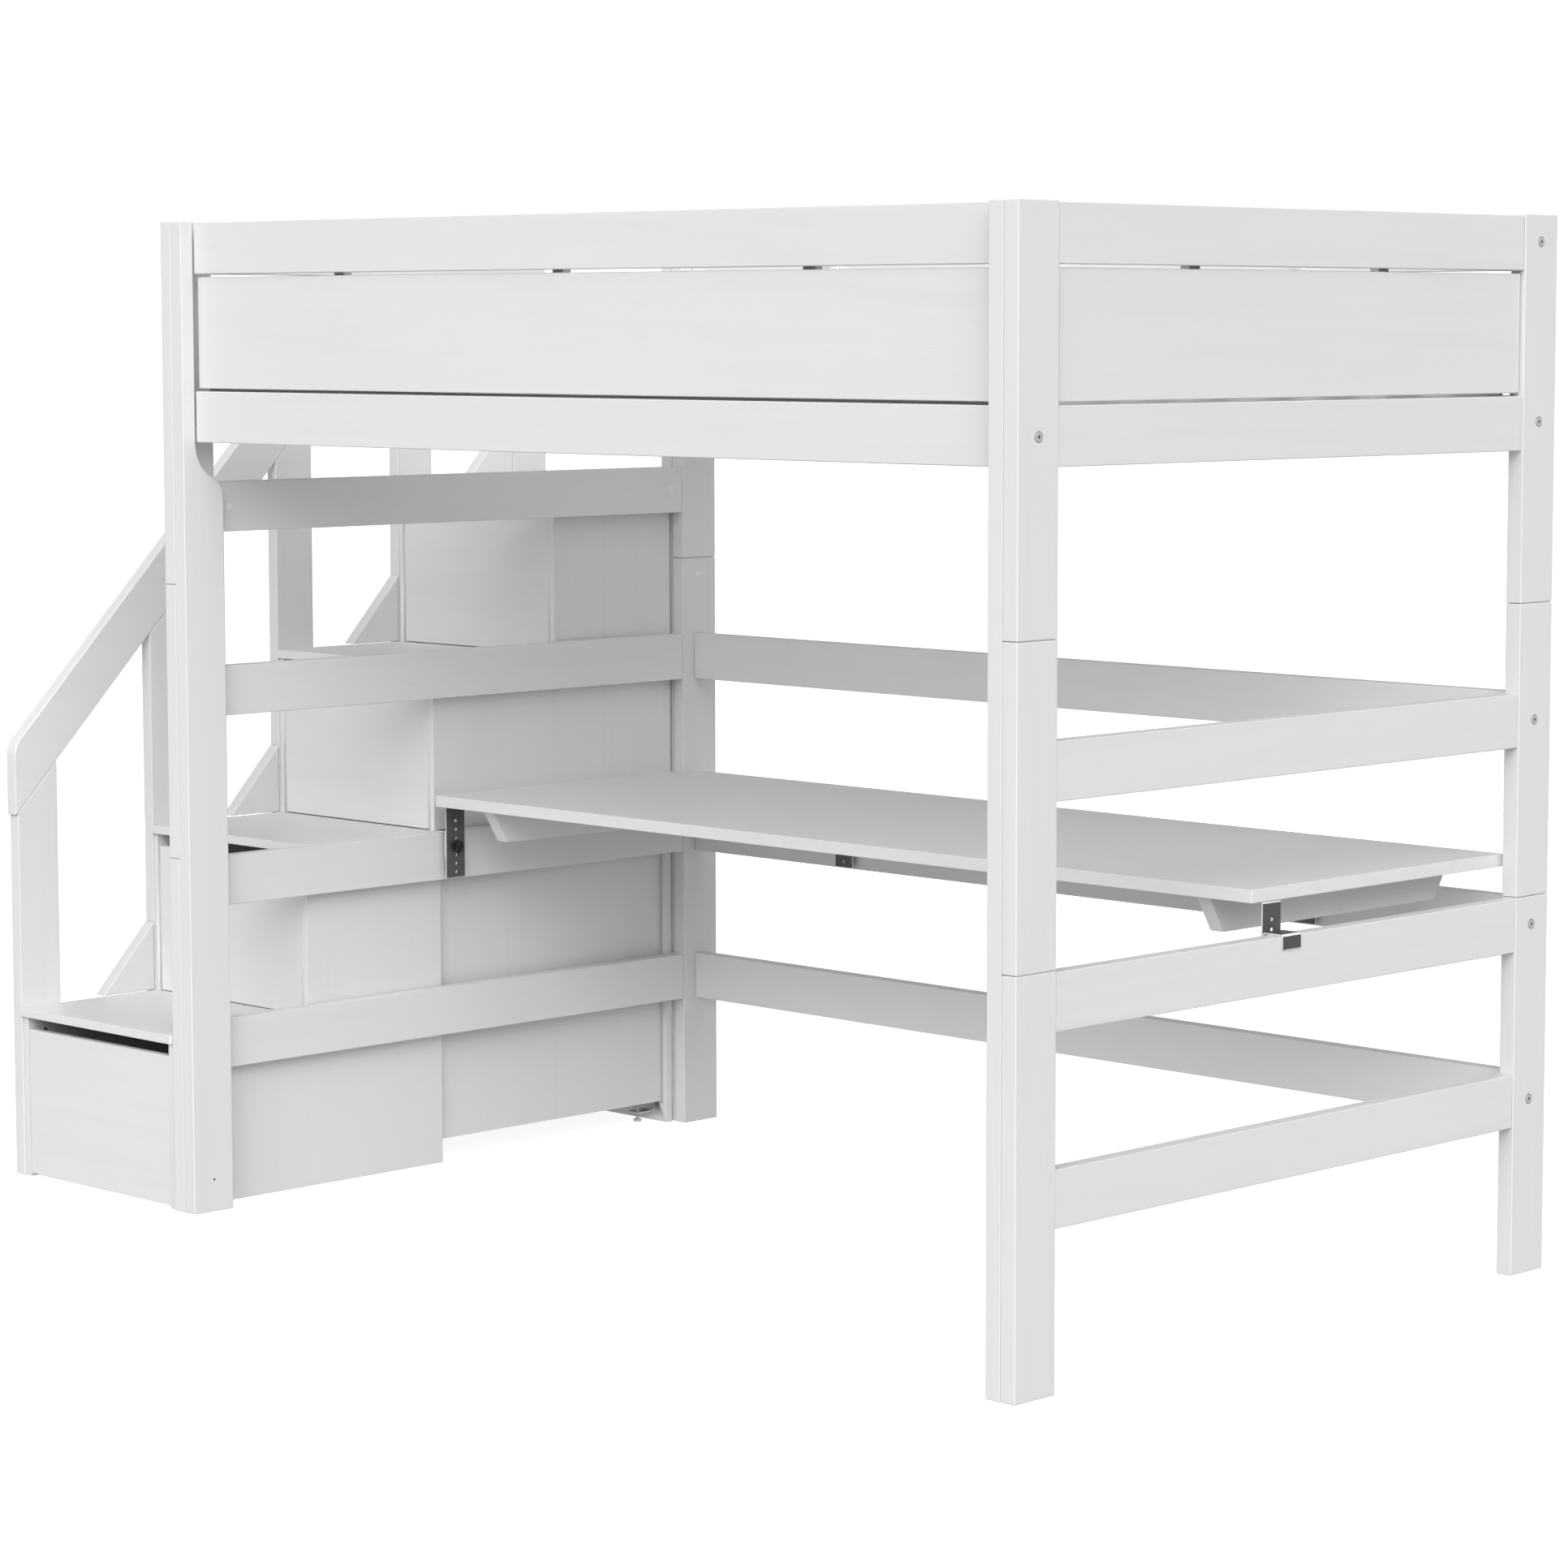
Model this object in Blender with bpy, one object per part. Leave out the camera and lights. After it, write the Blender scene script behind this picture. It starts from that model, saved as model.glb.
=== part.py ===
"""Loft bed with a height-adjustable desk and a storage staircase, in metres, +Z up.

The bed stands on four stacked posts. The staircase with its drawers is on the -X end,
the desk hangs inside on four hooked brackets. The origin is the bottom centre of the box.
"""
import math

import bmesh
import bpy
from mathutils import Vector

# Overall bed frame
BED_L = 2.07
BED_W = 1.34
BED_H = 1.79
POST_X = 0.030
POST_Y = 0.090
POST_JOINTS = (0.647, 1.143)
POST_GROOVE = 0.0004
GAP = 0.0003

# Origin of the row frame in the bed's own corner coordinates
ORIGIN = Vector((0.7856, 0.6685, 0.0))

# Rails
RAIL_H = 0.091
RAIL_T = 0.028
Z_RAIL_C = 0.254
Z_RAIL_B = 0.5535
Z_RAIL_A = 0.9005
Z_RAIL_HIGH = 1.2345
Z_RAIL_LOW_BED = 1.398
Z_RAIL_TOP = 1.697
PANEL_Z = (1.494, 1.692)
PANEL_T = 0.022
CLEAT_W = 0.025
CLEAT_T = 0.018
CLEAT_Z = (1.5003, 1.770)
CLEAT_X = (0.434, 1.000, 1.581)
CLEAT_Y = (0.434, 0.906)
LEDGER_Z = (1.4550, 1.4998)
LEDGER_X = (0.0640, 2.0060)

# Desk
DESK_X = (0.0385, 2.0315)
DESK_Y = (0.595, 1.265)
DESK_Z = (0.696, 0.718)
DESK_BATTEN_X = (0.146, 1.896)
DESK_BATTEN_W = 0.028
DESK_BATTEN_H = 0.0617

# Brackets and knobs
SHEET = 0.0025
BRACKET_W = 0.046
PLATE_Z = (0.5576, 0.6957)
FLANGE = 0.040
HOLE_R = 0.0030
HOLE_SIDES = 16
HOLE_Z = (0.5685, 0.5850, 0.6015, 0.6172, 0.6336, 0.6500, 0.6660)
KNOB_Z = 0.6172
KNOB_R = 0.0122
KNOB_T = 0.014
SHAFT_R = 0.00290
STAND_OFF = 0.0078
LIP_Z = 0.623
LEG_Z = 0.597
BRACKET_END_Y = (0.640, 0.648)
BRACKET_REAR_X = (0.465, 1.605)

# Staircase
STAIR_X = (-0.472, -0.002)
STAIR_RAIL_X = (-0.500, -0.4723)
STAIR_BACK_POST_X = (-0.0320, -0.0018)
STAIR_PANEL_T = 0.016
RISE = 0.323
RUN = 0.310
TREAD_1_Z = 0.3215
TREAD_T = 0.017
RISER_1_Y = 0.005
NOSING = 0.007
STAIR_POST_Y = 0.0895
STAIR_POST_PITCH = 0.3105
GUARD_W = 0.1215
GUARD_H = 0.132
DRAWER_GAP_Z = 0.023
SLOPE = 1.0419
HANDRAIL_H = 0.0910
HANDRAIL_BASE_Z = 0.690


def clear_scene():
    for item in list(bpy.data.objects):
        bpy.data.objects.remove(item, do_unlink=True)


def material(name, color, roughness, metallic=0.0):
    mat = bpy.data.materials.new(name)
    mat.use_nodes = True
    shader = mat.node_tree.nodes["Principled BSDF"]
    shader.inputs["Base Color"].default_value = (*color, 1.0)
    shader.inputs["Roughness"].default_value = roughness
    shader.inputs["Metallic"].default_value = metallic
    mat.diffuse_color = (*color, 1.0)
    return mat


def finish_object(name, bm, mat, origin):
    """Turn a bmesh in bed coordinates into an object whose origin is the given point."""
    bm.normal_update()
    bmesh.ops.recalc_face_normals(bm, faces=bm.faces)
    origin = Vector(origin)
    bmesh.ops.translate(bm, verts=bm.verts, vec=-origin)
    mesh = bpy.data.meshes.new(name)
    bm.to_mesh(mesh)
    bm.free()
    mesh.materials.append(mat)
    obj = bpy.data.objects.new(name, mesh)
    obj.location = origin - ORIGIN
    bpy.context.collection.objects.link(obj)
    return obj


def soften(bm, width, segments):
    """Round every edge that turns by more than 30 degrees."""
    sharp = [e for e in bm.edges if e.calc_face_angle(0.0) > math.radians(30)]
    bmesh.ops.bevel(bm, geom=sharp, offset=width, segments=segments, profile=0.5,
                    affect="EDGES", clamp_overlap=True)


def prism_mesh(plane, outline, low, high, bevel=0.002, segments=2):
    """Extrude an outline given in one plane (YZ, XZ or XY) along the third axis."""
    place = {"YZ": lambda a, b, c: (c, a, b),
             "XZ": lambda a, b, c: (a, c, b),
             "XY": lambda a, b, c: (a, b, c)}[plane]
    bm = bmesh.new()
    base = [bm.verts.new(place(a, b, low)) for a, b in outline]
    face = bm.faces.new(base)
    grown = bmesh.ops.extrude_face_region(bm, geom=[face])
    moved = [v for v in grown["geom"] if isinstance(v, bmesh.types.BMVert)]
    step = Vector(place(0.0, 0.0, high - low))
    bmesh.ops.translate(bm, verts=moved, vec=step)
    bmesh.ops.recalc_face_normals(bm, faces=bm.faces)
    if bevel > 0.0:
        soften(bm, bevel, segments)
    return bm


def box_mesh(x, y, z, bevel=0.002, segments=2):
    outline = [(x[0], y[0]), (x[1], y[0]), (x[1], y[1]), (x[0], y[1])]
    return prism_mesh("XY", outline, z[0], z[1], bevel, segments)


def middle(x, y, z):
    return ((x[0] + x[1]) / 2, (y[0] + y[1]) / 2, (z[0] + z[1]) / 2)


def box(name, x, y, z, mat, bevel=0.002, segments=2):
    return finish_object(name, box_mesh(x, y, z, bevel, segments), mat, middle(x, y, z))


def prism(name, plane, outline, low, high, mat, bevel=0.002, segments=2):
    bm = prism_mesh(plane, outline, low, high, bevel, segments)
    corners = [v.co for v in bm.verts]
    spans = [(min(c[i] for c in corners), max(c[i] for c in corners)) for i in range(3)]
    return finish_object(name, bm, mat, middle(*spans))


def tool(name, bm):
    """A hidden Boolean operand."""
    obj = finish_object(name, bm, TOOL, (0.0, 0.0, 0.0))
    obj.hide_render = True
    obj.display_type = "WIRE"
    return obj


def combine(target, bm, operation):
    """Apply a Boolean with a mesh given in bed coordinates."""
    operand = tool(target.name + "_tool_%d" % len(target.modifiers), bm)
    step = target.modifiers.new(operation.lower(), "BOOLEAN")
    step.operation = operation
    step.solver = "EXACT"
    step.object = operand
    return target


def merged(meshes):
    """Put several bmeshes into one."""
    total = bmesh.new()
    for bm in meshes:
        mesh = bpy.data.meshes.new("piece")
        bm.to_mesh(mesh)
        bm.free()
        total.from_mesh(mesh)
        bpy.data.meshes.remove(mesh)
    return total


def cylinder_mesh(center, axis, radius, length, sides):
    """A closed cylinder centred on a point, along X, Y or Z."""
    bm = bmesh.new()
    bmesh.ops.create_cone(bm, cap_ends=True, segments=sides, radius1=radius,
                          radius2=radius, depth=length)
    turn = Vector((0, 0, 1)).rotation_difference(Vector(axis)).to_matrix()
    bmesh.ops.rotate(bm, verts=bm.verts, cent=(0, 0, 0), matrix=turn)
    bmesh.ops.translate(bm, verts=bm.verts, vec=center)
    return bm


# ---------------------------------------------------------------- bed frame

def post(name, x, y):
    """Three stacked segments on one core, with a fine shadow groove at each joint."""
    inset = 0.0036
    core = box_mesh((x[0] + inset, x[1] - inset), (y[0] + inset, y[1] - inset), (0.3, 1.5), 0.0)
    obj = finish_object(name, core, WHITE, middle(x, y, (0.0, BED_H)))
    edges = (0.0,) + POST_JOINTS + (BED_H,)
    for low, high in zip(edges, edges[1:]):
        z = (low + POST_GROOVE * (low > 0), high - POST_GROOVE * (high < BED_H))
        combine(obj, box_mesh(x, y, z), "UNION")
    return obj


def inner_board_outline():
    """Side view of the inner corner board: wide below, narrow past the bed rails."""
    wide, narrow = 0.0880, 0.0270
    pulls = (Vector((wide, 1.300)), Vector((wide - 0.0005, 1.345)),
             Vector((narrow + 0.0030, 1.325)), Vector((narrow, 1.398)))
    steps = 16
    curve = []
    for i in range(steps + 1):
        t = i / steps
        weights = ((1 - t) ** 3, 3 * t * (1 - t) ** 2, 3 * t * t * (1 - t), t ** 3)
        curve.append(tuple(sum((pull * w for pull, w in zip(pulls, weights)), Vector((0, 0)))))
    return [(0.0, 0.0), (wide, 0.0)] + curve + [(narrow, BED_H), (0.0, BED_H)]


def build_posts():
    right = BED_L - POST_X
    back = BED_W - POST_Y
    for name, x0, y0 in (("post_front_left", 0.0, 0.0), ("post_front_right", right, 0.0),
                         ("post_back_left", 0.0, back), ("post_back_right", right, back)):
        post(name, (x0, x0 + POST_X), (y0, y0 + POST_Y))
    outline = inner_board_outline()
    for name, x0 in (("inner_board_left", POST_X + GAP), ("inner_board_right", right - POST_X)):
        prism(name, "YZ", outline, x0, x0 + POST_X - GAP, WHITE)


def rail_z(low):
    return (low, low + RAIL_H)


def add_cleats(panel, centers, place):
    """Screwed cleats on a panel's inner side, reaching behind the top rail."""
    for center in centers:
        x, y = place((center - CLEAT_W / 2, center + CLEAT_W / 2))
        combine(panel, box_mesh(x, y, CLEAT_Z, 0.0), "UNION")


def add_ledger(rail, face, inward):
    """A strip along a bed rail's inner face that carries the slats.

    Its top stands a little off the face, clear of the panel over the rail.
    """
    low, top = LEDGER_Z
    step = Z_RAIL_LOW_BED + RAIL_H - 0.0005
    outline = [(-0.0020, low), (0.0435, low), (0.0435, top), (0.0008, top), (0.0008, step),
               (-0.0020, step)]
    placed = [(face + inward * y, z) for y, z in outline]
    combine(rail, prism_mesh("YZ", placed, *LEDGER_X, 0.0), "UNION")


def build_front():
    x = (2 * POST_X + GAP, BED_L - 2 * POST_X - GAP)
    y = (0.0285, 0.0285 + RAIL_T)
    rail = box("front_bed_rail", x, y, rail_z(Z_RAIL_LOW_BED), WHITE)
    add_ledger(rail, y[1], 1)
    box("front_top_rail", x, y, rail_z(Z_RAIL_TOP), WHITE)
    panel = box("front_panel", (x[0] + 0.002, x[1] - 0.002), (y[1] - PANEL_T, y[1] + 0.0004),
                PANEL_Z, WHITE)
    add_cleats(panel, CLEAT_X, lambda span: (span, (y[1] + GAP, y[1] + CLEAT_T)))


def build_back():
    x = (POST_X + GAP, BED_L - POST_X - GAP)
    y = (1.280, 1.280 + RAIL_T)
    for name, low in (("back_low_rail", Z_RAIL_C), ("back_desk_rail", Z_RAIL_B),
                      ("back_mid_rail", Z_RAIL_A), ("back_bed_rail", Z_RAIL_LOW_BED),
                      ("back_top_rail", Z_RAIL_TOP)):
        rail = box(name, x, y, rail_z(low), WHITE)
        if name == "back_bed_rail":
            add_ledger(rail, y[0], -1)
    panel = box("back_panel", (x[0] + 0.002, x[1] - 0.002), (y[0] - 0.0004, y[0] + PANEL_T),
                PANEL_Z, WHITE)
    add_cleats(panel, CLEAT_X, lambda span: (span, (y[0] - CLEAT_T, y[0] - GAP)))


def build_right():
    x = (BED_L - 0.0298, BED_L - 0.0018)
    y = (POST_Y + 0.0005, BED_W - POST_Y - 0.0005)
    for name, low in (("right_low_rail", Z_RAIL_C), ("right_desk_rail", Z_RAIL_B),
                      ("right_mid_rail", Z_RAIL_A), ("right_bed_rail", Z_RAIL_LOW_BED),
                      ("right_top_rail", Z_RAIL_TOP)):
        box(name, x, y, rail_z(low), WHITE)
    panel = box("right_panel", (x[0] - 0.0004, x[0] + PANEL_T), (y[0] + 0.002, y[1] - 0.002),
                PANEL_Z, WHITE)
    add_cleats(panel, CLEAT_Y, lambda span: ((x[0] - CLEAT_T, x[0] - GAP), span))


def build_left():
    x = (0.0018, 0.0018 + RAIL_T)
    y = (POST_Y + 0.0005, BED_W - POST_Y - 0.0005)
    for name, low in (("left_low_rail", Z_RAIL_C), ("left_desk_rail", Z_RAIL_B),
                      ("left_mid_rail", Z_RAIL_A), ("left_high_rail", Z_RAIL_HIGH),
                      ("left_bed_rail", Z_RAIL_LOW_BED)):
        box(name, x, y, rail_z(low), WHITE)
    guard = box("left_entry_guard", x, (y[0], 0.580), rail_z(Z_RAIL_TOP), WHITE)
    combine(guard, box_mesh((x[0] + 0.006, x[1] - 0.0004), (y[0] + 0.002, 0.575), PANEL_Z), "UNION")
    end = (Z_RAIL_LOW_BED + RAIL_H + GAP, Z_RAIL_TOP + RAIL_H)
    combine(guard, box_mesh((x[0] + 0.0004, x[1] + 0.0004), (0.560, 0.620), end), "UNION")


def build_slatted_base():
    """Cross slats held at an even pitch by two tapes under them."""
    first, last = LEDGER_X
    count = 15
    slat = 0.070
    pitch = (last - first - slat) / (count - 1)
    under = LEDGER_Z[1] + GAP
    tape_x = (first + 0.002, last - 0.002)
    tape_z = (under - 0.0010, under + 0.0010)
    base = box("slatted_base", tape_x, (0.1200, 0.1400), tape_z, BASE, 0.0)
    combine(base, box_mesh(tape_x, (1.1960, 1.2160), tape_z, 0.0), "UNION")
    slats = [box_mesh((first + pitch * i, first + pitch * i + slat), (0.0780, 1.2580),
                      (under, 1.5170), 0.0) for i in range(count)]
    combine(base, merged(slats), "UNION")


# --------------------------------------------------------------------- desk

def build_desk():
    box("desktop", DESK_X, DESK_Y, DESK_Z, WHITE, 0.0015)
    top = DESK_Z[0] - GAP
    low = top - DESK_BATTEN_H
    outline = [(0.6195, top), (0.6560, low), (1.2190, low), (1.2550, top)]
    for side, x0 in zip(("left", "right"), DESK_BATTEN_X):
        prism("desk_batten_" + side, "YZ", outline, x0, x0 + DESK_BATTEN_W, WHITE)


def mapped(bm, place):
    """Move a mesh by a coordinate map, which may mirror it."""
    for vert in bm.verts:
        vert.co = Vector(place(*vert.co))
    ends = [Vector(place(*axis)) - Vector(place(0, 0, 0)) for axis in ((1, 0, 0), (0, 1, 0))]
    if ends[0].cross(ends[1]).z < 0:
        bmesh.ops.reverse_faces(bm, faces=bm.faces)
    return bm


def bracket_place(side, center):
    """Map bracket coordinates (along, out, up) to bed coordinates.

    Along runs beside the rail, out is measured from the desk's inside towards the rail,
    starting at the rail's inner face.
    """
    if side == "left":
        return lambda a, o, z: (0.0298 - o, center - a, z)
    if side == "right":
        return lambda a, o, z: (BED_L - 0.0298 + o, center + a, z)
    return lambda a, o, z: (center - a, 1.280 + o, z)


def plate_mesh():
    """L-shaped sheet: a drilled upright and a flange under the desktop."""
    far = -STAND_OFF - SHEET - GAP
    near = far - SHEET
    low, high = PLATE_Z
    outline = [(far, low), (far, high), (near - FLANGE, high), (near - FLANGE, high - SHEET),
               (near - 0.002, high - SHEET), (near, high - SHEET - 0.002), (near, low)]
    bm = prism_mesh("YZ", outline, -BRACKET_W / 2, BRACKET_W / 2, 0.0004, 1)
    return bm


def hook_mesh(top_z, depth):
    """Sheet hook over a rail: inner leg, top web and outer lip."""
    low_inner = -STAND_OFF - SHEET
    over = depth + 0.0005
    top = top_z + GAP
    outline = [(low_inner, LEG_Z), (-STAND_OFF, LEG_Z), (-STAND_OFF, top), (over, top),
               (over, LIP_Z), (over + SHEET, LIP_Z), (over + SHEET, top + SHEET),
               (low_inner, top + SHEET)]
    return prism_mesh("YZ", outline, -BRACKET_W / 2, BRACKET_W / 2, 0.0004, 1)


def knob_profile():
    """Turned stations of the star knob: (out, radius, lobe depth)."""
    far = -STAND_OFF - SHEET - GAP
    face = far - SHEET - 0.0002
    back = face - KNOB_T
    return [(back, 0.0075, 0.0), (back, 0.0095, 0.0006), (back + 0.0015, 0.0112, 0.0012),
            (back + 0.0035, KNOB_R - 0.0012, 0.0012), (face - 0.0050, KNOB_R - 0.0012, 0.0012),
            (face - 0.0034, 0.0095, 0.0006), (face - 0.0030, 0.0070, 0.0), (face, 0.0068, 0.0),
            (face, SHAFT_R, 0.0), (far - 0.0001, SHAFT_R, 0.0)]


def knob_mesh(sides=48, lobes=8):
    bm = bmesh.new()
    rings = []
    for out, radius, lobe in knob_profile():
        ring = []
        for i in range(sides):
            turn = 2 * math.pi * i / sides
            r = radius + lobe * math.cos(lobes * turn)
            ring.append(bm.verts.new((r * math.cos(turn), out, KNOB_Z + r * math.sin(turn))))
        rings.append(ring)
    for low, high in zip(rings, rings[1:]):
        for i in range(sides):
            j = (i + 1) % sides
            bm.faces.new((low[i], low[j], high[j], high[i]))
    bm.faces.new(rings[0])
    bm.faces.new(list(reversed(rings[-1])))
    return bm


def build_bracket(name, side, center):
    place = bracket_place(side, center)
    rail_top = Z_RAIL_B + RAIL_H
    holes = merged([cylinder_mesh((0, -STAND_OFF - 1.5 * SHEET, z), (0, 1, 0), HOLE_R, 0.009, HOLE_SIDES)
                    for z in HOLE_Z])
    knob_at = place(0.0, -STAND_OFF - SHEET, KNOB_Z)
    plate = finish_object("desk_plate_" + name, mapped(plate_mesh(), place), STEEL, knob_at)
    combine(plate, mapped(holes, place), "DIFFERENCE")
    hook = mapped(hook_mesh(rail_top, RAIL_T), place)
    finish_object("desk_hook_" + name, hook, STEEL, knob_at)
    knob = finish_object("desk_knob_" + name, mapped(knob_mesh(), place), PLASTIC, knob_at)
    knob.data.shade_smooth()
    knob.data.set_sharp_from_angle(angle=math.radians(40))


def build_brackets():
    build_bracket("end_left", "left", BRACKET_END_Y[0])
    build_bracket("end_right", "right", BRACKET_END_Y[1])
    build_bracket("rear_left", "back", BRACKET_REAR_X[0])
    build_bracket("rear_right", "back", BRACKET_REAR_X[1])


# ---------------------------------------------------------------- staircase

def riser_y(step):
    return RISER_1_Y + RUN * step


def tread_top(step):
    return TREAD_1_Z + RISE * step


def stepped_case(name, step, z_low, depth_end, bays):
    """Two steps as one stepped case, with its bays cut out between the side panels."""
    y0, y1 = riser_y(step), riser_y(step + 1)
    z1 = tread_top(step) - TREAD_T
    z2 = tread_top(step + 1) - TREAD_T
    outline = [(y0, z_low), (depth_end, z_low), (depth_end, z2), (y1, z2), (y1, z1), (y0, z1)]
    case = prism(name, "YZ", outline, STAIR_X[0], STAIR_X[1], WHITE, 0.001, 1)
    inner = (STAIR_X[0] + STAIR_PANEL_T, STAIR_X[1] - STAIR_PANEL_T)
    for y, z in bays:
        combine(case, box_mesh(inner, y, z, 0.0), "DIFFERENCE")
    return case


def build_cases():
    y1, y2 = riser_y(1), riser_y(2)
    shelf = (tread_top(0) - TREAD_T, tread_top(0))
    stepped_case("stair_case_low", 0, 0.0, y2 + 0.0147,
                 [((-0.1, y1), (-0.1, 0.7)), ((0.2, y2 - 0.001), (-0.1, shelf[0])),
                  ((0.2, y2 - 0.001), (shelf[1], 0.7))])
    y3, end = riser_y(3), riser_y(4) + 0.0005
    low = tread_top(1) - TREAD_T + 0.0005
    floor = low + STAIR_PANEL_T
    shelf = (tread_top(2) - TREAD_T, tread_top(2))
    stepped_case("stair_case_high", 2, low, end,
                 [((0.5, y3), (floor, 1.4)), ((0.9, end - 0.016), (floor, shelf[0])),
                  ((0.9, end - 0.016), (shelf[1], 1.4))])


def build_support():
    """Under-structure of the upper steps: two side panels, a back board and a tall post.

    The post stands beside the bed's back post, and a tongue ties it to the back board.
    """
    top = tread_top(1) - TREAD_T + 0.0001
    y = (0.6400, 1.2300)
    support = box("stair_support", STAIR_X, (y[1], y[1] + 0.0155), (0.0, top), WHITE, 0.001, 1)
    inner = box_mesh((-0.034, -0.018), (y[0], y[1] + 0.005), (0.042, top - 0.0002), 0.0)
    outer = box_mesh((STAIR_X[0] + 0.0002, STAIR_X[0] + STAIR_PANEL_T), (y[0], y[1] + 0.005),
                     (0.0, top - 0.0002), 0.0)
    x = STAIR_BACK_POST_X
    tall = box_mesh(x, (BED_W - POST_Y + 0.0005, BED_W), (0.0, BED_H))
    tongue = box_mesh((x[0] + 0.005, x[1] - 0.005), (y[1] + 0.010, BED_W - 0.060),
                      (0.050, top - 0.050), 0.0)
    for piece in (inner, outer, tall, tongue):
        combine(support, piece, "UNION")


def tread_outline(y0, y1):
    """Plan of a tread with one rounded front corner."""
    radius = 0.006
    x0, x1 = STAIR_X
    arc = [(x1 - radius + radius * math.sin(t), y0 + radius - radius * math.cos(t))
           for t in (math.radians(15 * i) for i in range(7))]
    return [(x0, y0)] + arc + [(x1, y1), (x0, y1)]


def build_treads():
    for step in range(4):
        y0 = riser_y(step) - NOSING
        y1 = riser_y(step + 1) - GAP
        top = tread_top(step)
        outline = tread_outline(y0, y1)
        prism("stair_tread_%d" % (step + 1), "XY", outline, top - TREAD_T + GAP, top, WHITE, 0.0012)


def handrail_low(y):
    """Height of the handrail's lower edge."""
    return min(HANDRAIL_BASE_Z + SLOPE * y, Z_RAIL_TOP)


def build_stair_posts():
    """Balusters cut to the handrail's slope, each with the guard on the tread before it."""
    bend = (Z_RAIL_TOP - HANDRAIL_BASE_Z) / SLOPE
    x = STAIR_RAIL_X
    for i in range(5):
        y0 = 0.002 + STAIR_POST_PITCH * i
        y1 = y0 + STAIR_POST_Y
        tops = [(y1, handrail_low(y1) - 0.0006)]
        if y0 < bend < y1:
            tops.append((bend, Z_RAIL_TOP - 0.0006))
        tops.append((y0, handrail_low(y0) - 0.0006))
        outline = [(y0, 0.0), (y1, 0.0)] + tops
        obj = prism("stair_post_%d" % (i + 1), "YZ", outline, x[0], x[1], WHITE)
        if i > 0:
            z0 = tread_top(i - 1) + 0.0006
            guard = [(y0 - GUARD_W, z0), (y0 - 0.0012, z0), (y0 - 0.0012, z0 + GUARD_H)]
            combine(obj, prism_mesh("YZ", guard, x[0], x[1]), "UNION")
            joint = box_mesh((x[0] + 0.003, x[1] - 0.003), (y0 - 0.006, y0 + 0.006),
                             (z0 + 0.014, z0 + GUARD_H - 0.016), 0.0)
            combine(obj, joint, "UNION")


def build_handrail():
    """Sloped rail with a rounded lower nose, running level above the top step."""
    rise = HANDRAIL_H * math.hypot(1.0, SLOPE)
    start = -0.003
    end = 0.002 + STAIR_POST_PITCH * 4 + STAIR_POST_Y
    low_bend = (Z_RAIL_TOP - HANDRAIL_BASE_Z) / SLOPE
    high = Z_RAIL_TOP + HANDRAIL_H
    high_bend = (high - HANDRAIL_BASE_Z - rise) / SLOPE
    pitch = math.atan(SLOPE)
    radius = 0.045
    corner = Vector((start, HANDRAIL_BASE_Z + rise + SLOPE * start))
    turn = math.pi / 2 - pitch
    tangent = radius * math.tan(turn / 2)
    center = corner + Vector((radius, -tangent))
    nose = [(center.x - radius * math.cos(a), center.y + radius * math.sin(a))
            for a in (turn * i / 8 for i in range(9))]
    outline = [(start, handrail_low(start)), (low_bend, Z_RAIL_TOP), (end, Z_RAIL_TOP),
               (end, high), (high_bend, high)] + list(reversed(nose))
    prism("stair_handrail", "YZ", outline, STAIR_RAIL_X[0], STAIR_RAIL_X[1], WHITE)


def drawer(number, y, z):
    """Open box with a low front that leaves a finger gap under the tread."""
    x = (STAIR_X[0] + STAIR_PANEL_T + 0.0008, STAIR_X[1] - STAIR_PANEL_T - 0.0008)
    name = "stair_drawer_%d" % number
    obj = box(name, x, (y[0], y[0] + 0.016), z, WHITE, 0.001, 1)
    side = (x[0] + 0.004, x[1] - 0.004)
    shell = box_mesh(side, (y[0] + 0.012, y[1]), (z[0] + 0.008, z[1] - 0.030), 0.0)
    combine(obj, shell, "UNION")
    hollow = box_mesh((side[0] + 0.012, side[1] - 0.012), (y[0] + 0.016, y[1] - 0.012),
                      (z[0] + 0.016, z[1] + 0.02), 0.0)
    combine(obj, hollow, "DIFFERENCE")


def build_drawers():
    fronts = [riser_y(step) + 0.0006 for step in range(4)]
    backs = (riser_y(2) - 0.010, riser_y(2) - 0.010, riser_y(4) - 0.025, riser_y(4) - 0.025)
    for step in range(4):
        low = 0.006 if step == 0 else tread_top(step - 1) + 0.0014
        high = tread_top(step) - TREAD_T - DRAWER_GAP_Z
        drawer(step + 1, (fronts[step], backs[step]), (low, high))


clear_scene()
WHITE = material("white_lacquer", (0.86, 0.86, 0.855), 0.38)
BASE = material("base_lacquer", (0.82, 0.82, 0.81), 0.5)
STEEL = material("bracket_steel", (0.33, 0.33, 0.34), 0.3, 1.0)
PLASTIC = material("knob_plastic", (0.02, 0.02, 0.022), 0.45)
TOOL = material("operand", (0.5, 0.5, 0.5), 0.5)
build_posts()
build_front()
build_back()
build_right()
build_left()
build_slatted_base()
build_desk()
build_brackets()
build_cases()
build_support()
build_treads()
build_stair_posts()
build_handrail()
build_drawers()
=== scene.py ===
"""Looks of the loft bed: lacquered boards, steel brackets, plastic knobs and fittings."""
import math

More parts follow.
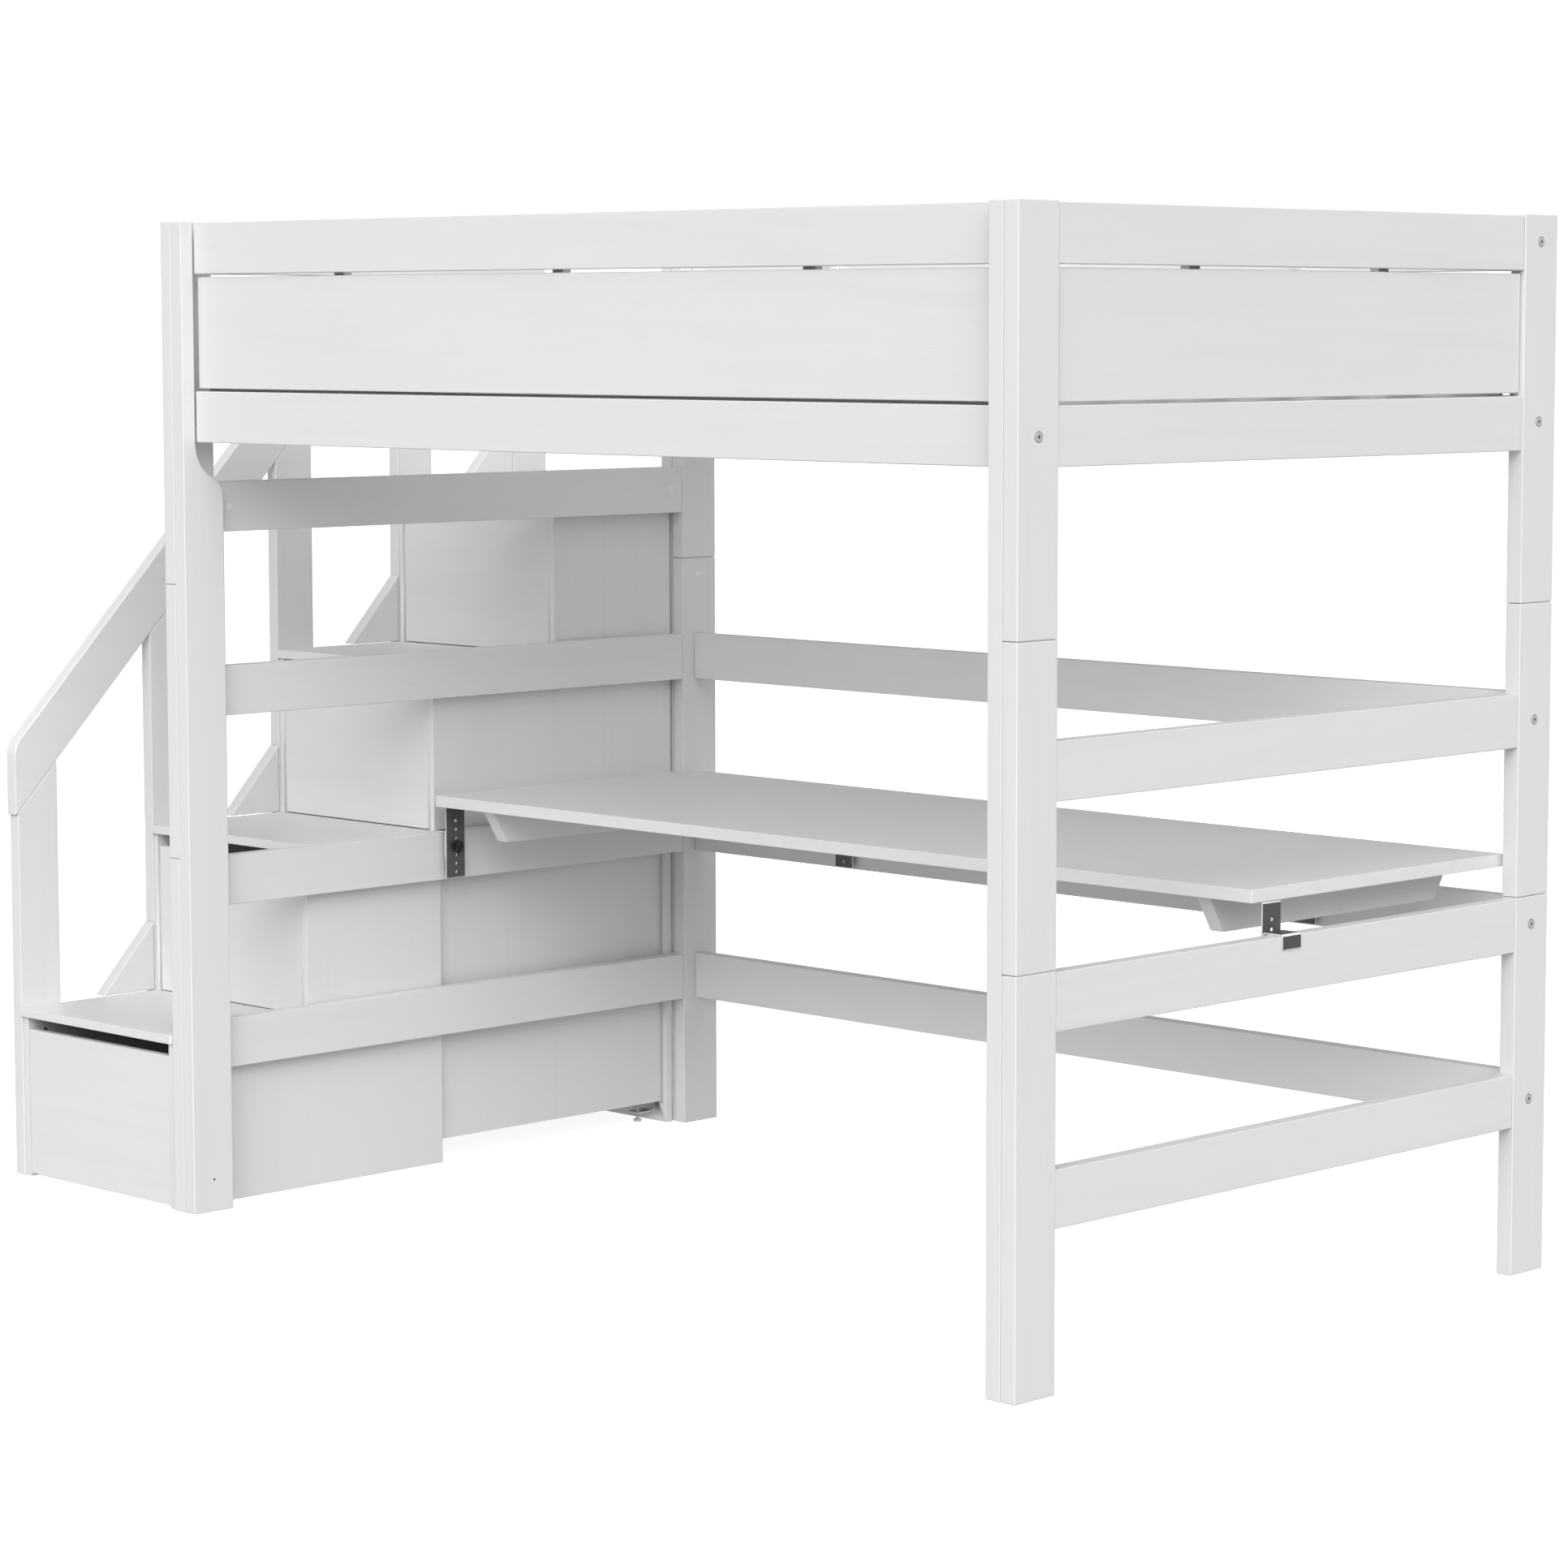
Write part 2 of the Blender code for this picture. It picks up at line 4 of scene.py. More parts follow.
import bmesh
import bpy
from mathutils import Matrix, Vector


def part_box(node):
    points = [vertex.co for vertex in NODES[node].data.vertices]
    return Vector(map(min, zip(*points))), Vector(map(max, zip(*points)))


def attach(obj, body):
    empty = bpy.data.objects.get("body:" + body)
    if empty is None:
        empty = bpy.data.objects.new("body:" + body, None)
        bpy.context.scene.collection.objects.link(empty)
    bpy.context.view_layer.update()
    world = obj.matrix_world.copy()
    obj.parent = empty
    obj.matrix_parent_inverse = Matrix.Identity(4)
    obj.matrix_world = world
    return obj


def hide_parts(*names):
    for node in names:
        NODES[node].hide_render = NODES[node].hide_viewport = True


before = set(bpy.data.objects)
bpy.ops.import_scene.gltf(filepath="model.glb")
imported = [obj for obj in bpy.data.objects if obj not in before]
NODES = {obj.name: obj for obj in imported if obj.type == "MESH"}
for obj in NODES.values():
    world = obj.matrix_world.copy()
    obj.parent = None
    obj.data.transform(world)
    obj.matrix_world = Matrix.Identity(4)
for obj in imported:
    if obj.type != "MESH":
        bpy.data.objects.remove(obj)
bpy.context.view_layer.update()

BED = "bed_frame"
DESK = "desk"
WORLD_UP = Vector((0, 0, 1))
GAP = 0.0003              # clearance between touching boards and sheets


# ------------------------------------------------------------------ node graphs

class Graph:
    """A short way to write the nodes of a material or a world."""

    def __init__(self, owner, shader="Principled BSDF"):
        self.mat = owner
        owner.use_nodes = True
        self.tree = owner.node_tree
        self.shader = self.tree.nodes[shader]

    def node(self, kind, **values):
        made = self.tree.nodes.new(kind)
        for key, value in values.items():
            setattr(made, key, value)
        return made

    def feed(self, socket, value):
        """Link another node's output to a socket, or set the socket's own value."""
        if isinstance(value, bpy.types.NodeSocket):
            self.tree.links.new(value, socket)
        else:
            socket.default_value = value

    def put(self, made, **inputs):
        for key, value in inputs.items():
            self.feed(made.inputs[key.replace("_", " ")], value)
        return made

    def coords(self, scale=(1.0, 1.0, 1.0)):
        place = self.node("ShaderNodeTexCoord").outputs["Object"]
        mapping = self.put(self.node("ShaderNodeMapping"), Vector=place, Scale=scale)
        return mapping.outputs["Vector"]

    def noise(self, vector, scale, detail=4.0, rough=0.55, distortion=0.0):
        made = self.node("ShaderNodeTexNoise")
        self.put(made, Vector=vector, Scale=scale, Detail=detail, Roughness=rough,
                 Distortion=distortion)
        return made.outputs["Fac"]

    def ramp(self, value, stops):
        made = self.put(self.node("ShaderNodeValToRGB"), Fac=value)
        marks = made.color_ramp.elements
        while len(marks) < len(stops):
            marks.new(0.5)
        for mark, (at, color) in zip(marks, stops):
            mark.position = at
            mark.color = (*color, 1.0) if isinstance(color, tuple) else (color,) * 3 + (1.0,)
        return made.outputs["Color"]

    def remap(self, value, low, high, start=0.0, end=1.0):
        made = self.node("ShaderNodeMapRange")
        self.put(made, Value=value, From_Min=start, From_Max=end, To_Min=low, To_Max=high)
        return made.outputs["Result"]

    def math(self, operation, a, b):
        made = self.node("ShaderNodeMath", operation=operation)
        for socket, value in zip(made.inputs, (a, b)):
            self.feed(socket, value)
        return made.outputs["Value"]

    def blend(self, a, b, share):
        """Two heights or factors added, the first one weighted by its share."""
        return self.math("ADD", self.math("MULTIPLY", a, share),
                         self.math("MULTIPLY", b, round(1.0 - share, 6)))

    def tint(self, a, b):
        """Two colours multiplied."""
        made = self.node("ShaderNodeMix", data_type="RGBA", blend_type="MULTIPLY")
        for index, value in ((0, 1.0), (6, a), (7, b)):
            self.feed(made.inputs[index], value)
        return made.outputs[2]

    def bump(self, height, strength, distance):
        made = self.node("ShaderNodeBump")
        self.put(made, Height=height, Strength=strength, Distance=distance)
        self.surface(Normal=made.outputs["Normal"])

    def surface(self, **inputs):
        self.put(self.shader, **inputs)


def material(name):
    return Graph(bpy.data.materials.new(name))


STRETCH = {"X": (0.055, 1.0, 1.0), "Y": (1.0, 0.055, 1.0), "Z": (1.0, 1.0, 0.055)}


def lacquer(name, grain, light=(0.722, 0.718, 0.710), dark=(0.697, 0.694, 0.686), rough=0.36):
    """Sprayed white lacquer over fine straight-grained wood, the grain just showing."""
    g = material(name)
    along = g.coords(STRETCH[grain])
    plain = g.coords()
    drift = g.noise(plain, 2.3, 2.0, 0.5)
    figure = g.noise(along, 17.0, 5.0, 0.6, 1.1)
    fibre = g.noise(along, 230.0, 3.0, 0.6)
    peel = g.noise(plain, 420.0, 2.0, 0.5)
    cloud = g.blend(figure, drift, 0.62)
    tone = g.ramp(cloud, [(0.30, dark), (0.50, light), (0.72, tuple(c * 1.012 for c in light))])
    pores = g.ramp(fibre, [(0.24, 0.955), (0.36, 1.0)])
    sheen = g.remap(g.blend(drift, figure, 0.6), rough - 0.055, rough + 0.06, 0.3, 0.7)
    g.bump(g.blend(fibre, peel, 0.55), 0.11, 0.0006)
    g.surface(Base_Color=g.tint(tone, pores), Roughness=sheen, Specular_IOR_Level=0.42,
              Coat_Weight=0.12, Coat_Roughness=0.22)
    return g.mat


def steel(name, tone, rough, wear=0.35, metal=1.0):
    """Plated sheet with fine upright drawn lines, small scuffs and a little dulling."""
    g = material(name)
    lines = g.noise(g.coords(STRETCH["Z"]), 900.0, 3.0, 0.65)
    scuff = g.noise(g.coords(), 95.0, 5.0, 0.62, 0.6)
    drift = g.noise(g.coords(), 22.0, 3.0, 0.5)
    dark = tuple(c * (1.0 - wear * 0.4) for c in tone)
    light = tuple(min(1.0, c * (1.0 + wear)) for c in tone)
    color = g.ramp(g.blend(scuff, drift, 0.6), [(0.33, dark), (0.55, tone), (0.78, light)])
    g.surface(Base_Color=color, Metallic=metal,
              Roughness=g.remap(scuff, rough - 0.05, rough + 0.12, 0.3, 0.7))
    g.bump(g.blend(lines, scuff, 0.8), 0.08, 0.0002)
    return g.mat


def plastic(name, tone, rough, grain=700.0):
    """Moulded plastic with a fine spark-eroded texture and faint handling marks."""
    g = material(name)
    flat = g.coords()
    fine = g.noise(flat, grain, 2.0, 0.5)
    marks = g.noise(flat, 60.0, 4.0, 0.6, 0.8)
    light = tuple(min(1.0, c * 1.18 + 0.004) for c in tone)
    g.surface(Base_Color=g.ramp(marks, [(0.35, tone), (0.75, light)]),
              Roughness=g.remap(marks, rough - 0.06, rough + 0.08, 0.3, 0.7))
    g.bump(fine, 0.18, 0.0003)
    return g.mat


def shadow_paint(name):
    """Unlit inside of a drill hole."""
    g = material(name)
    speck = g.noise(g.coords(), 600.0, 2.0, 0.5)
    g.surface(Base_Color=g.ramp(speck, [(0.3, 0.012), (0.8, 0.03)]), Roughness=0.9)
    return g.mat


WOOD = {axis: lacquer("white_lacquer_" + axis.lower(), axis) for axis in "XYZ"}
SLAT = lacquer("base_lacquer", "Y", (0.70, 0.69, 0.67), (0.64, 0.63, 0.60), 0.48)
SHEET_STEEL = steel("bracket_sheet", (0.108, 0.109, 0.112), 0.30, wear=0.10, metal=0.45)
CUT_STEEL = steel("bracket_cut_edge", (0.66, 0.66, 0.66), 0.34, wear=0.08, metal=0.15)
# Near-white sheet for the bends and drilled hole walls: a painted highlight where they would catch
# the light.
BEND_HIGHLIGHT_STEEL = steel("bracket_bend_painted_highlight", (0.96, 0.96, 0.96), 0.2, wear=0.03, metal=0.1)
SHEET_LOOKS = (SHEET_STEEL, CUT_STEEL, BEND_HIGHLIGHT_STEEL)
ZINC = steel("zinc_fitting", (0.56, 0.565, 0.57), 0.27, wear=0.12, metal=0.7)
BOLT = steel("bolt_head", (0.56, 0.56, 0.56), 0.42, wear=0.04, metal=0.35)
SCREW = steel("dark_screw", (0.10, 0.10, 0.105), 0.4, metal=0.6)
KNOB = plastic("knob_black", (0.0062, 0.0062, 0.0068), 0.36)
CAP = plastic("cover_cap", (0.74, 0.742, 0.74), 0.42, 900.0)
FOOT = plastic("foot_grey", (0.60, 0.60, 0.60), 0.5)
HOLE_SHADE = shadow_paint("drill_hole")


# ------------------------------------------------------------------ mesh helpers

SHARP = math.radians(35)
KNOB_SHARP = math.radians(30)


def add_object(name, bm, mats, body, sharp=SHARP):
    """A piece from a bmesh, riding on a body."""
    bmesh.ops.recalc_face_normals(bm, faces=bm.faces)
    mesh = bpy.data.meshes.new(name)
    bm.to_mesh(mesh)
    bm.free()
    for mat in mats:
        mesh.materials.append(mat)
    mesh.shade_smooth()
    mesh.set_sharp_from_angle(angle=sharp)
    obj = bpy.data.objects.new(name, mesh)
    bpy.context.scene.collection.objects.link(obj)
    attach(obj, body)
    return obj


def lathe(bm, stations, sides=48, mat=0, shape=None):
    """Turned solid along +Z from (height, radius) stations, closed at both ends."""
    rings = []
    for index, (height, radius) in enumerate(stations):
        ring = []
        for i in range(sides):
            turn = 2 * math.pi * i / sides
            r = shape(index, turn, radius) if shape else radius
            ring.append(bm.verts.new((r * math.cos(turn), r * math.sin(turn), height)))
        rings.append(ring)
    made = []
    for low, high in zip(rings, rings[1:]):
        for i in range(sides):
            j = (i + 1) % sides
            made.append(bm.faces.new((low[i], low[j], high[j], high[i])))
    made.append(bm.faces.new(list(reversed(rings[0]))))
    made.append(bm.faces.new(rings[-1]))
    for face in made:
        face.material_index = mat
    return [v for ring in rings for v in ring]


def aim(bm, verts, axis, at):
    """Turn new vertices from +Z to an axis and move them into place."""
    turn = WORLD_UP.rotation_difference(Vector(axis)).to_matrix()
    for vert in verts:
        vert.co = turn @ vert.co + Vector(at)


def turned(bm, stations, sides, axis, at, mat=0, shape=None):
    """A lathe form standing on a point along an axis."""
    aim(bm, lathe(bm, stations, sides, mat, shape), axis, at)


def rounded_line(points, radius, steps=7):
    """The centre line of a bent sheet, each inner corner turned with a radius."""
    line = [Vector(points[0])]
    for before, corner, after in zip(points, points[1:], points[2:]):
        corner = Vector(corner)
        a = (Vector(before) - corner).normalized()
        b = (Vector(after) - corner).normalized()
        half = a.angle(b) / 2
        reach = radius / math.tan(half)
        center = corner + (a + b).normalized() * (radius / math.sin(half))
        start = corner + a * reach - center
        end = corner + b * reach - center
        for i in range(steps + 1):
            line.append(center + start.slerp(end, i / steps) * radius)
    line.append(Vector(points[-1]))
    return line


def strip_outline(line, thickness):
    """Both sides of a centre line as one closed outline."""
    sides = []
    for i, point in enumerate(line):
        back = line[max(i - 1, 0)]
        ahead = line[min(i + 1, len(line) - 1)]
        along = (ahead - back).normalized()
        normal = Vector((-along.y, along.x))
        sides.append((point + normal * thickness / 2, point - normal * thickness / 2))
    return [s[0] for s in sides] + [s[1] for s in reversed(sides)]


EDGE_ROUND = 0.00035      # rounding on a sheet's cut edges
# Material slots of a bent sheet: plain, cut ends, and the bends painted near white as a painted
# highlight.
CUT_LOOK, BEND_HIGHLIGHT_LOOK = 1, 2


def paint_strip(bm):
    """The cut ends get the second material, and the bends and other slanted faces the third, a
    near-white painted highlight.
    """
    bm.normal_update()
    for face in bm.faces:
        across, out, up = (abs(c) for c in face.normal)
        if across > 0.6:
            face.material_index = CUT_LOOK
        elif max(out, up) < 0.985:
            face.material_index = BEND_HIGHLIGHT_LOOK


def sheet_strip(points, thickness, radius, width, place):
    """A bent strip: profile points are (out, up); it runs along the rail by its width."""
    outline = strip_outline(rounded_line(points, radius), thickness)
    bm = bmesh.new()
    ends = []
    for along in (-width / 2, width / 2):
        ends.append([bm.verts.new((along, p.x, p.y)) for p in outline])
    count = len(outline)
    for i in range(count):
        j = (i + 1) % count
        bm.faces.new((ends[0][i], ends[0][j], ends[1][j], ends[1][i]))
    half = count // 2
    for end in ends:
        for i in range(half - 1):
            bm.faces.new((end[i], end[i + 1], end[count - 2 - i], end[count - 1 - i]))
    bmesh.ops.recalc_face_normals(bm, faces=bm.faces)
    corners = [e for e in bm.edges if e.calc_face_angle(0.0) > math.radians(60)]
    bmesh.ops.bevel(bm, geom=corners, offset=EDGE_ROUND, segments=2, profile=0.6,
                    affect="EDGES", clamp_overlap=True)
    paint_strip(bm)
    for vert in bm.verts:
        vert.co = Vector(place(*vert.co))
    return bm


def drill(obj, cutters):
    """Cut holes through an object, their walls painted near white as a painted highlight, and
    clear the cutters away.
    """
    made = []
    for bm in cutters:
        mesh = bpy.data.meshes.new("drill")
        bm.to_mesh(mesh)
        bm.free()
        # The cutters carry the near-white painted-highlight material onto the hole walls.
        mesh.materials.append(BEND_HIGHLIGHT_STEEL)
        tool = bpy.data.objects.new("drill", mesh)
        bpy.context.scene.collection.objects.link(tool)
        made.append(tool)
        cut = obj.modifiers.new("hole", "BOOLEAN")
        cut.operation = "DIFFERENCE"
        cut.solver = "EXACT"
        cut.material_mode = "TRANSFER"
        cut.object = tool
    graph = bpy.context.evaluated_depsgraph_get()
    solid = bpy.data.meshes.new_from_object(obj.evaluated_get(graph))
    obj.modifiers.clear()
    obj.data = solid
    for tool in made:
        bpy.data.objects.remove(tool, do_unlink=True)
    solid.shade_smooth()
    solid.set_sharp_from_angle(angle=SHARP)


# ------------------------------------------------------------------ boards

def grain_axis(name):
    """Boards run with their grain along their longest side."""
    low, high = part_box(name)
    size = [high[i] - low[i] for i in range(3)]
    return "XYZ"[size.index(max(size))]


GRAIN = {"stair_case_low": "Z", "stair_case_high": "Z", "stair_support": "Z",
         "stair_handrail": "Y", "left_entry_guard": "Y"}
GRAIN.update({"stair_drawer_%d" % number: "X" for number in range(1, 5)})
HARDWARE = ("desk_plate", "desk_hook", "desk_knob")


def dress_boards():
    """Lacquer on every board, with soft-rounded edges from averaged normals."""
    for name, obj in NODES.items():
        if name.startswith(HARDWARE):
            continue
        mat = SLAT if name == "slatted_base" else WOOD[GRAIN.get(name) or grain_axis(name)]
        obj.data.materials.clear()
        obj.data.materials.append(mat)
        obj.data.shade_smooth()
        weld = obj.modifiers.new("weld", "WELD")
        weld.merge_threshold = 0.00001
        even = obj.modifiers.new("even", "WEIGHTED_NORMAL")
        even.weight = 80
        even.keep_sharp = False


# ------------------------------------------------------------------ brackets

def rail_place(side):
    """A map from bracket coordinates (along, out, up) to the row's, and the way out."""
    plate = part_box("desk_plate_" + side)
    mid = [(plate[0][i] + plate[1][i]) / 2 for i in range(3)]
    if side == "end_left":
        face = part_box("left_desk_rail")[1][0]
        return (lambda a, o, z: (face - o, mid[1] - a, z)), Vector((-1, 0, 0))
    if side == "end_right":
        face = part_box("right_desk_rail")[0][0]
        return (lambda a, o, z: (face + o, mid[1] + a, z)), Vector((1, 0, 0))
    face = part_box("back_desk_rail")[0][1]
    return (lambda a, o, z: (mid[0] - a, face + o, z)), Vector((0, 1, 0))


HOLE_Z = (0.5685, 0.5850, 0.6015, 0.6172, 0.6336, 0.6500, 0.6660)
KNOB_Z = 0.6172
SHEET = 0.0025
PLATE_OUT = -0.01185    # middle of the drilled upright, from the rail's face
LEG_OUT = -0.00905      # middle of the hook's inner leg
LIP_OUT = 0.02975       # middle of the hook's outer lip
PLATE_LOW = 0.5576      # lower ends of the drilled upright, the inner leg and the lip
LEG_LOW = 0.597
LIP_LOW = 0.623
FLANGE = 0.0400
BEND_RADIUS = 0.0030
BRACKET_W = 0.046
HOLE_R = 0.0030
LOBES = 8
LOBE_DEPTH = 0.0042
FULL_LOBE_R = 0.0125    # radius from which the lobes have their full depth
LOBE_RINGS = (2, 9)     # first and last lobed ring of the knob's profile
KNOB_RINGS = [(0.0002, 0.0066), (0.0026, 0.0068), (0.0031, 0.0090), (0.0037, 0.0114),
              (0.0046, 0.0124), (0.0058, 0.0126), (0.0108, 0.0126), (0.0122, 0.0123),
              (0.0132, 0.0115), (0.0138, 0.0100), (0.0141, 0.0078), (0.0138, 0.0066),
              (0.0131, 0.0062), (0.0131, 0.0026), (0.0136, 0.0022), (0.0136, 0.0006)]
SCREW_TIP = [(-0.0002, 0.0028), (0.0024, 0.0028), (0.0026, 0.0024)]
PAN_HEAD = [(0.0, 0.0042), (0.0008, 0.0041), (0.0017, 0.0033), (0.0022, 0.0020),
            (0.0022, 0.0016), (0.0010, 0.0012)]


def plate_piece(side):
    """L-shaped sheet under the desktop with its row of holes."""
    place, out = rail_place(side)
    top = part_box("desktop")[0][2] - GAP - SHEET / 2
    points = [(PLATE_OUT - FLANGE, top), (PLATE_OUT, top), (PLATE_OUT, PLATE_LOW)]
    bm = sheet_strip(points, SHEET, BEND_RADIUS, BRACKET_W, place)
    obj = add_object("plate_" + side, bm, SHEET_LOOKS, DESK)
    cutters = []
    for z in HOLE_Z:
        cut = bmesh.new()
        turned(cut, [(-0.006, HOLE_R), (0.006, HOLE_R)], 32, out, place(0.0, PLATE_OUT, z))
        cutters.append(cut)
    drill(obj, cutters)
    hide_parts("desk_plate_" + side)


def hook_piece(side):
    """Sheet hook over the rail."""
    place, _ = rail_place(side)
    rail_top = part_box("back_desk_rail")[1][2] + GAP + SHEET / 2
    points = [(LEG_OUT, LEG_LOW), (LEG_OUT, rail_top), (LIP_OUT, rail_top), (LIP_OUT, LIP_LOW)]
    bm = sheet_strip(points, SHEET, BEND_RADIUS, BRACKET_W, place)
    obj = add_object("hook_" + side, bm, SHEET_LOOKS, BED)
    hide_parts("desk_hook_" + side)


def star(index, turn, radius):
    """Pointed lobes with scooped valleys on the gripping rings."""
    if not LOBE_RINGS[0] <= index <= LOBE_RINGS[1]:
        return radius
    step = (turn * LOBES / (2 * math.pi)) % 1.0
    tip = min(1.0, abs(step * 2 - 1.0))
    depth = LOBE_DEPTH * min(1.0, radius / FULL_LOBE_R) ** 2
    return radius - depth * (1.0 - tip ** 1.4)


def knob_piece(side):
    """Star knob: a collar on the plate, eight lobes and a dished cap."""
    place, out = rail_place(side)
    seat = place(0.0, PLATE_OUT - SHEET / 2, KNOB_Z)
    bm = bmesh.new()
    turned(bm, KNOB_RINGS, 128, -out, seat, 0, star)
    obj = add_object("knob_" + side, bm, [KNOB], "knob_" + side, KNOB_SHARP)
    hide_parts("desk_knob_" + side)
    screw = bmesh.new()
    turned(screw, SCREW_TIP, 32, out, seat)
    add_object("knob_screw_" + side, screw, [ZINC], "knob_" + side)


def flange_screws(side):
    """Two pan-head screws that hold the plate's flange up under the desktop."""
    place, _ = rail_place(side)
    bm = bmesh.new()
    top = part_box("desktop")[0][2] - GAP - SHEET
    for along in (-0.0125, 0.0125):
        turned(bm, PAN_HEAD, 32, (0, 0, -1), place(along, PLATE_OUT - 0.024, top))
    add_object("flange_screws_" + side, bm, [ZINC], DESK)


def build_brackets():
    for side in ("end_left", "end_right", "rear_left", "rear_right"):
        plate_piece(side)
        hook_piece(side)
        knob_piece(side)
        flange_screws(side)


# ------------------------------------------------------------------ fittings

# Thin dark ring round each bolt head: painted shade of the counterbore the head sits in.
BOLT_SHADE_RING = [(0.0, 0.0086), (0.00025, 0.0086), (0.00030, 0.0083)]
BOLT_DISC = [(0.0, 0.0077), (0.0006, 0.0077), (0.0010, 0.0073), (0.00105, 0.0040),
             (0.00105, 0.0031), (0.00105, 0.0026), (0.0002, 0.0026)]
SOCKET_RINGS_FROM = 5   # the disc's last rings are the hexagon socket


def hex_socket(index, turn, radius):
    """Round outer rings and a hexagon for the socket's rings."""
    if index < SOCKET_RINGS_FROM:
        return radius
    sector = (turn + math.pi / 6) % (math.pi / 3) - math.pi / 6
    return radius / math.cos(sector)


def bolt_head(bm, axis, at):
    """Low bolt head: a dark ring painted as the shade of its counterbore, a flat disc and a
    hexagon socket.
    """
    turned(bm, BOLT_SHADE_RING, 48, axis, at, 1)
    turned(bm, BOLT_DISC, 48, axis, at, 0, hex_socket)


def flat_cap(bm, axis, at, radius=0.0068):
    """Plastic cover cap with a turned-down rim."""
    rings = [(0.0, radius + 0.0004), (0.0001, radius + 0.0004), (0.0001, radius),
             (0.0006, radius - 0.0001), (0.0009, radius - 0.0006), (0.0010, radius - 0.0016)]
    turned(bm, rings, 48, axis, at)


def screw_head(bm, axis, at, radius=0.0036):
    """Countersunk screw head with a dished recess."""
    rings = [(0.0, radius), (0.0003, radius), (0.0005, radius * 0.9),
             (0.0005, radius * 0.45), (0.0001, radius * 0.2)]
    turned(bm, rings, 32, axis, at)


def center_z(name):
    low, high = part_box(name)
    return (low[2] + high[2]) / 2


BACK_RAILS = ("back_low_rail", "back_desk_rail", "back_mid_rail", "back_bed_rail", "back_top_rail")
BOLT_LIFT = {"back_bed_rail": -0.0027, "back_top_rail": 0.0026}   # off the rail's middle
FRONT_BOLT_IN = 0.0456    # front bolt's line behind the front post's face
FRONT_BOLT_DROP = 0.0055


def build_bolts():
    """Bolts through the posts into the ends of the long rails, on both bed ends."""
    back_y = (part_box("back_low_rail")[0][1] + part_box("back_low_rail")[1][1]) / 2
    front_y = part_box("post_front_right")[0][1] + FRONT_BOLT_IN
    front_z = center_z("front_bed_rail") - FRONT_BOLT_DROP
    for side, x, axis in (("right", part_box("post_back_right")[1][0], (1, 0, 0)),
                          ("left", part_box("post_back_left")[0][0], (-1, 0, 0))):
        bm = bmesh.new()
        for rail in BACK_RAILS:
            bolt_head(bm, axis, (x, back_y, center_z(rail) + BOLT_LIFT.get(rail, 0.0)))
        bolt_head(bm, axis, (x, front_y, front_z))
        # The dark screw material on the bolts' rings is painted counterbore shade.
        add_object("bolts_" + side, bm, [BOLT, SCREW], BED)


STAIR_RISE = 0.323
SMALL_CAP_R = 0.0058
CAP_RISE = 0.09           # caps stand this far above the floor and above each step's foot
FIRST_STEP_FOOT = 0.15


def build_caps():
    """Cover caps over the fixings of the high rail, the back post and the stair posts."""
    bm = bmesh.new()
    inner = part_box("left_high_rail")
    x = inner[1][0]
    z = center_z("left_high_rail")
    for y in (inner[0][1] + 0.031, inner[1][1] - 0.0315):
        flat_cap(bm, (1, 0, 0), (x, y, z))
    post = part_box("post_back_left")
    flat_cap(bm, (1, 0, 0), (post[1][0], post[0][1] + 0.044, 1.110), SMALL_CAP_R)
    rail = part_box("stair_handrail")
    for number in range(1, 6):
        low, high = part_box("stair_post_%d" % number)
        mid = (low[1] + high[1]) / 2 if number == 1 else high[1] - 0.045
        foot = FIRST_STEP_FOOT + STAIR_RISE * (number - 1)
        for z in (CAP_RISE, foot + CAP_RISE):
            flat_cap(bm, (-1, 0, 0), (rail[0][0], mid, z), SMALL_CAP_R)
    add_object("cover_caps", bm, [CAP], BED)


# A thin dark disc on the board's face: painted shade standing in for an open hole.
PILOT_HOLE = [(0.0, 0.0022), (0.00012, 0.0022), (0.00013, 0.0016)]
PANEL_PIN = [(-0.001, 0.0028), (0.0019, 0.0028), (0.002, 0.0024)]


def build_drill_holes():
    """Pilot holes near the feet of the two inner boards, drawn as thin discs painted near black as
    the holes' shade.
    """
    bm = bmesh.new()
    left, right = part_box("inner_board_left"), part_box("inner_board_right")
    for x, y, way in ((left[1][0], left[0][1], 1), (right[0][0], right[0][1], -1)):
        turned(bm, PILOT_HOLE, 24, (way, 0, 0), (x, y + 0.045, 0.059))
    add_object("pilot_holes", bm, [HOLE_SHADE], BED)


def build_panel_pins():
    """Steel pins that hold the front panel's ends off the inner boards."""
    bm = bmesh.new()
    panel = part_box("front_panel")
    for x, axis in ((panel[0][0], (-1, 0, 0)), (panel[1][0], (1, 0, 0))):
        turned(bm, PANEL_PIN, 24, axis, (x, panel[0][1] + 0.011, center_z("front_panel")))
    add_object("panel_pins", bm, [SCREW], BED)


CLEAT_SCREW_Z = (1.530, 1.640, 1.745)
CLEAT_TIP_Z = 1.76        # only the cleats' tops reach above this height
PANEL_SIDES = (("front_panel", 1, 1), ("back_panel", 1, -1), ("right_panel", 0, -1))


def build_cleat_screws():
    """Screws through the inner cleats of the three infill panels."""
    bm = bmesh.new()
    for name, index, inward in PANEL_SIDES:
        low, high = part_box(name)
        face = high[index] if inward > 0 else low[index]
        axis = [0, 0, 0]
        axis[index] = inward
        for mid in cleat_centers(name):
            for z in CLEAT_SCREW_Z:
                at = [mid, mid, z]
                at[index] = face
                screw_head(bm, axis, at)
    add_object("cleat_screws", bm, [ZINC], BED)


